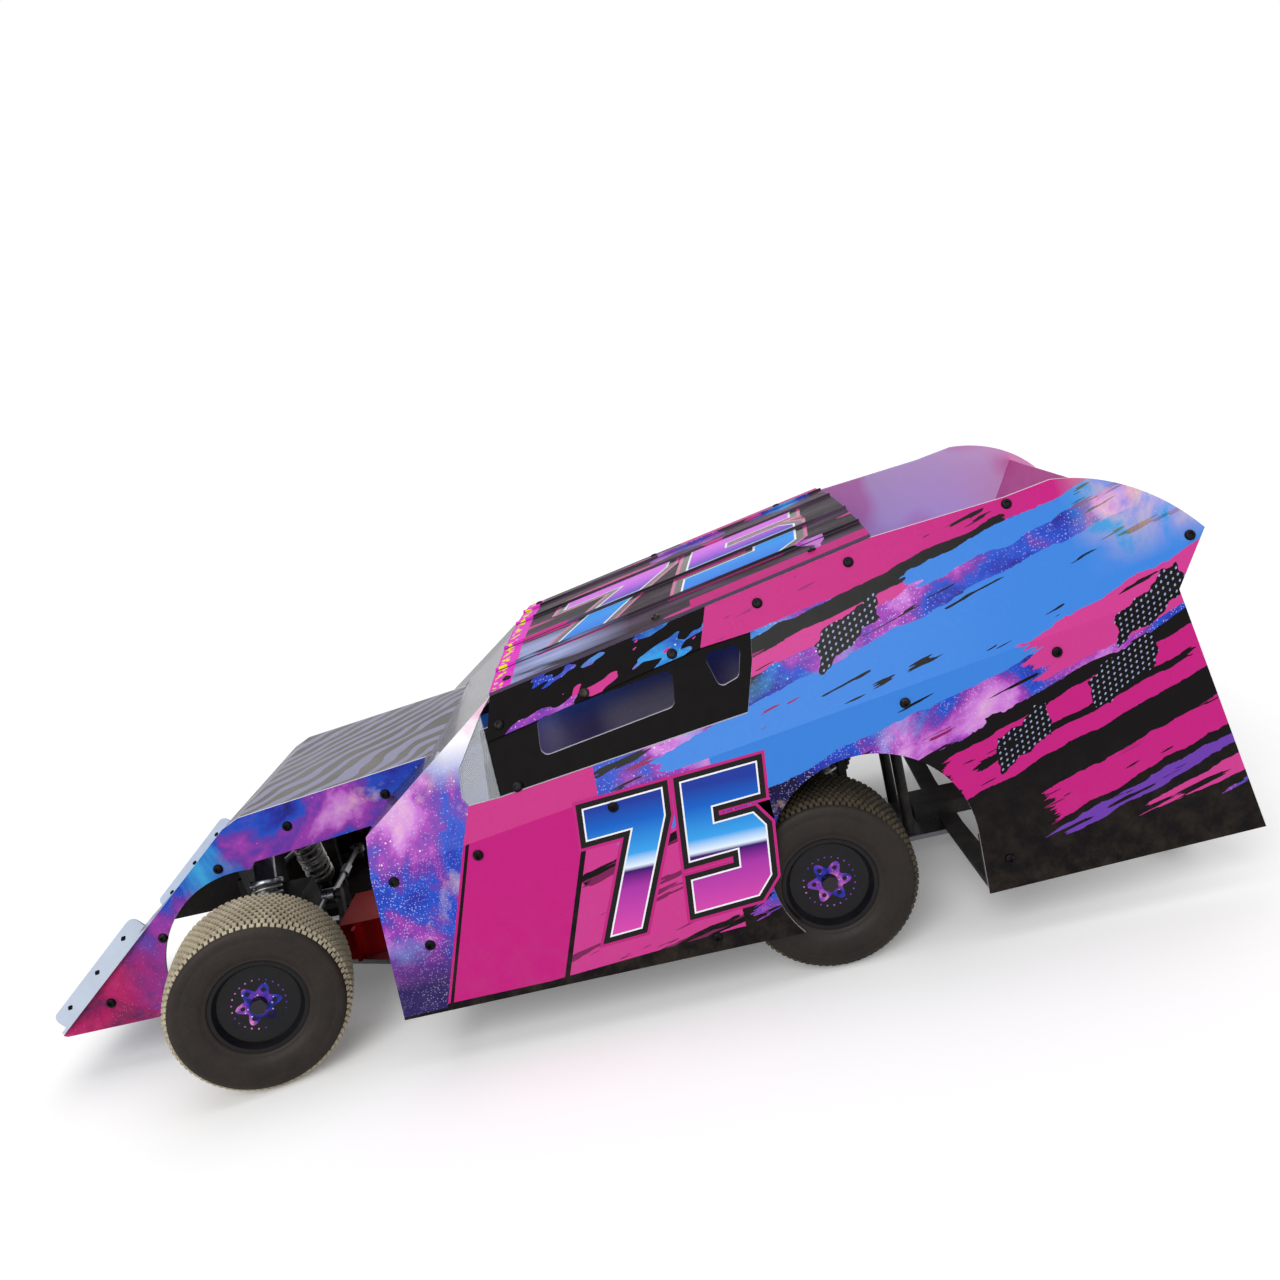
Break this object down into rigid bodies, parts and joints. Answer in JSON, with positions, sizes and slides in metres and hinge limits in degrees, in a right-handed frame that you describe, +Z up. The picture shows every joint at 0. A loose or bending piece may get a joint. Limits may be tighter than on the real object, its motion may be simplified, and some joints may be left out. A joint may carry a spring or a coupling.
{
  "type": "one-tenth scale radio-controlled dirt-oval modified model car",
  "caption": "Radio-controlled tenth-scale dirt-oval model car: flat folded panels, tall tail sails, open wheels in front, coil-over suspension, working steering",
  "frame": {"origin": "on the ground under the middle of the car's overall length and width", "axes": "+Y to the car's rear, +X to its left, +Z up; the car faces -Y"},
  "size_m": [0.247, 0.601, 0.2055],
  "materials": {
    "front_wrap": "vinyl wrap on polycarbonate sheet, night-sky pattern",
    "door_wrap": "vinyl wrap, magenta",
    "quarter_wrap": "vinyl wrap, blue and pink streaks",
    "visor_wrap": "vinyl wrap, black with splashes",
    "roof_sheet": "vinyl wrap, grey with number graphics",
    "hood_sheet": "smoky sheet, faint stripes",
    "nose_plate_sheet": "pale rubbing plate",
    "spoiler_sheet": "pink sheet",
    "inner_sheet": "dull inner floor",
    "black_sheet": "black sheet",
    "clear_sheet": "clear polycarbonate",
    "smoky_sheet": "smoky clear polycarbonate",
    "black_plastic": "moulded nylon",
    "chassis_alloy": "anodised plate",
    "tower_sheet": "carbon-look sheet",
    "steel": "turned steel",
    "shock_alloy": "turned alloy body and spring",
    "rim_black": "moulded dish",
    "tyre_front": "dusty rubber",
    "tyre_rear": "dusty rubber",
    "motor_can": "motor can",
    "battery_case": "hard case",
    "red_case": "anodised case"
  },
  "bodies": {
    "root": {"battery": "battery_case", "body_posts": "black_plastic", "camber_links": "steel", "caster_block_left": "black_plastic", "caster_block_right": "black_plastic", "chassis_plate": "chassis_alloy", "deck": "inner_sheet", "door_left": "door_wrap", "door_right": "door_wrap", "front_arm_left": "black_plastic", "front_arm_right": "black_plastic", "front_bulkhead": "black_plastic", "front_shock_left": "shock_alloy", "front_shock_right": "shock_alloy", "front_tower": "tower_sheet", "gearbox": "black_plastic", "hood": "hood_sheet", "motor": "motor_can", "nose_brace": "black_plastic", "nose_plate": "nose_plate_sheet", "nose_side_left": "front_wrap", "nose_side_right": "front_wrap", "pillar_panel_left": "front_wrap", "pillar_panel_right": "front_wrap", "quarter_left": "quarter_wrap", "quarter_right": "quarter_wrap", "rear_arm_left": "black_plastic", "rear_arm_right": "black_plastic", "rear_bumper": "black_plastic", "rear_hub_left": "black_plastic", "rear_hub_right": "black_plastic", "rear_shock_left": "shock_alloy", "rear_shock_right": "shock_alloy", "rear_tower": "tower_sheet", "roof": "roof_sheet", "servo": "red_case", "side_braces": "black_plastic", "speed_controller": "black_plastic", "spoiler": "spoiler_sheet", "window_corners": "clear_sheet", "window_guard_left": "black_sheet", "window_guard_right": "black_sheet", "window_visor_left": "visor_wrap", "window_visor_right": "visor_wrap", "windscreen": "smoky_sheet"},
    "knuckle_left": {"knuckle_left": "steel"},
    "knuckle_right": {"knuckle_right": "steel"},
    "tie_rod_left": {"tie_rod_left": "steel"},
    "tie_rod_right": {"tie_rod_right": "steel"},
    "servo_horn": {"servo_horn": "black_plastic"},
    "wheel_front_left": {"rim_front_left": "rim_black", "tyre_front_left": "tyre_front"},
    "wheel_front_right": {"rim_front_right": "rim_black", "tyre_front_right": "tyre_front"},
    "wheel_rear_left": {"drive_shaft_left": "steel", "rim_rear_left": "rim_black", "tyre_rear_left": "tyre_rear"},
    "wheel_rear_right": {"drive_shaft_right": "steel", "rim_rear_right": "rim_black", "tyre_rear_right": "tyre_rear"}
  },
  "joints": [
    {"name": "steering_left", "type": "hinge", "parent": "root", "child": "knuckle_left", "pos_m": [0.066, -0.1885, 0.043], "axis": [0, 0, 1], "range_deg": [-34, 6]},
    {"name": "steering_right", "type": "hinge", "parent": "root", "child": "knuckle_right", "pos_m": [-0.066, -0.1885, 0.043], "axis": [0, 0, 1], "range_deg": [-34, 6]},
    {"name": "tie_rod_left_pivot", "type": "hinge", "parent": "knuckle_left", "child": "tie_rod_left", "pos_m": [0.06237, -0.17395, 0.043], "axis": [0, 0, 1], "range_deg": [-6, 34]},
    {"name": "tie_rod_right_pivot", "type": "hinge", "parent": "knuckle_right", "child": "tie_rod_right", "pos_m": [-0.06963, -0.17395, 0.043], "axis": [0, 0, 1], "range_deg": [-6, 34]},
    {"name": "servo_shaft", "type": "hinge", "parent": "root", "child": "servo_horn", "pos_m": [0, -0.16795, 0.0285], "axis": [0, -1, 0], "range_deg": [-34, 6]},
    {"name": "front_wheel_left", "type": "hinge", "parent": "knuckle_left", "child": "wheel_front_left", "pos_m": [0.09462, -0.18136, 0.043], "axis": [0.9703, 0.2419, 0], "continuous": true},
    {"name": "rear_wheel_left", "type": "hinge", "parent": "root", "child": "wheel_rear_left", "pos_m": [0.0965, 0.0965, 0.043], "axis": [1, 0, 0], "continuous": true},
    {"name": "front_wheel_right", "type": "hinge", "parent": "knuckle_right", "child": "wheel_front_right", "pos_m": [-0.09462, -0.19564, 0.043], "axis": [0.9703, 0.2419, 0], "continuous": true},
    {"name": "rear_wheel_right", "type": "hinge", "parent": "root", "child": "wheel_rear_right", "pos_m": [-0.0965, 0.0965, 0.043], "axis": [1, 0, 0], "continuous": true}
  ],
  "couplings": [
    {"joint": "steering_right", "follows": "steering_left", "ratio": 1},
    {"joint": "tie_rod_left_pivot", "follows": "steering_left", "ratio": -1},
    {"joint": "tie_rod_right_pivot", "follows": "steering_left", "ratio": -1},
    {"joint": "servo_shaft", "follows": "steering_left", "ratio": 1}
  ]
}
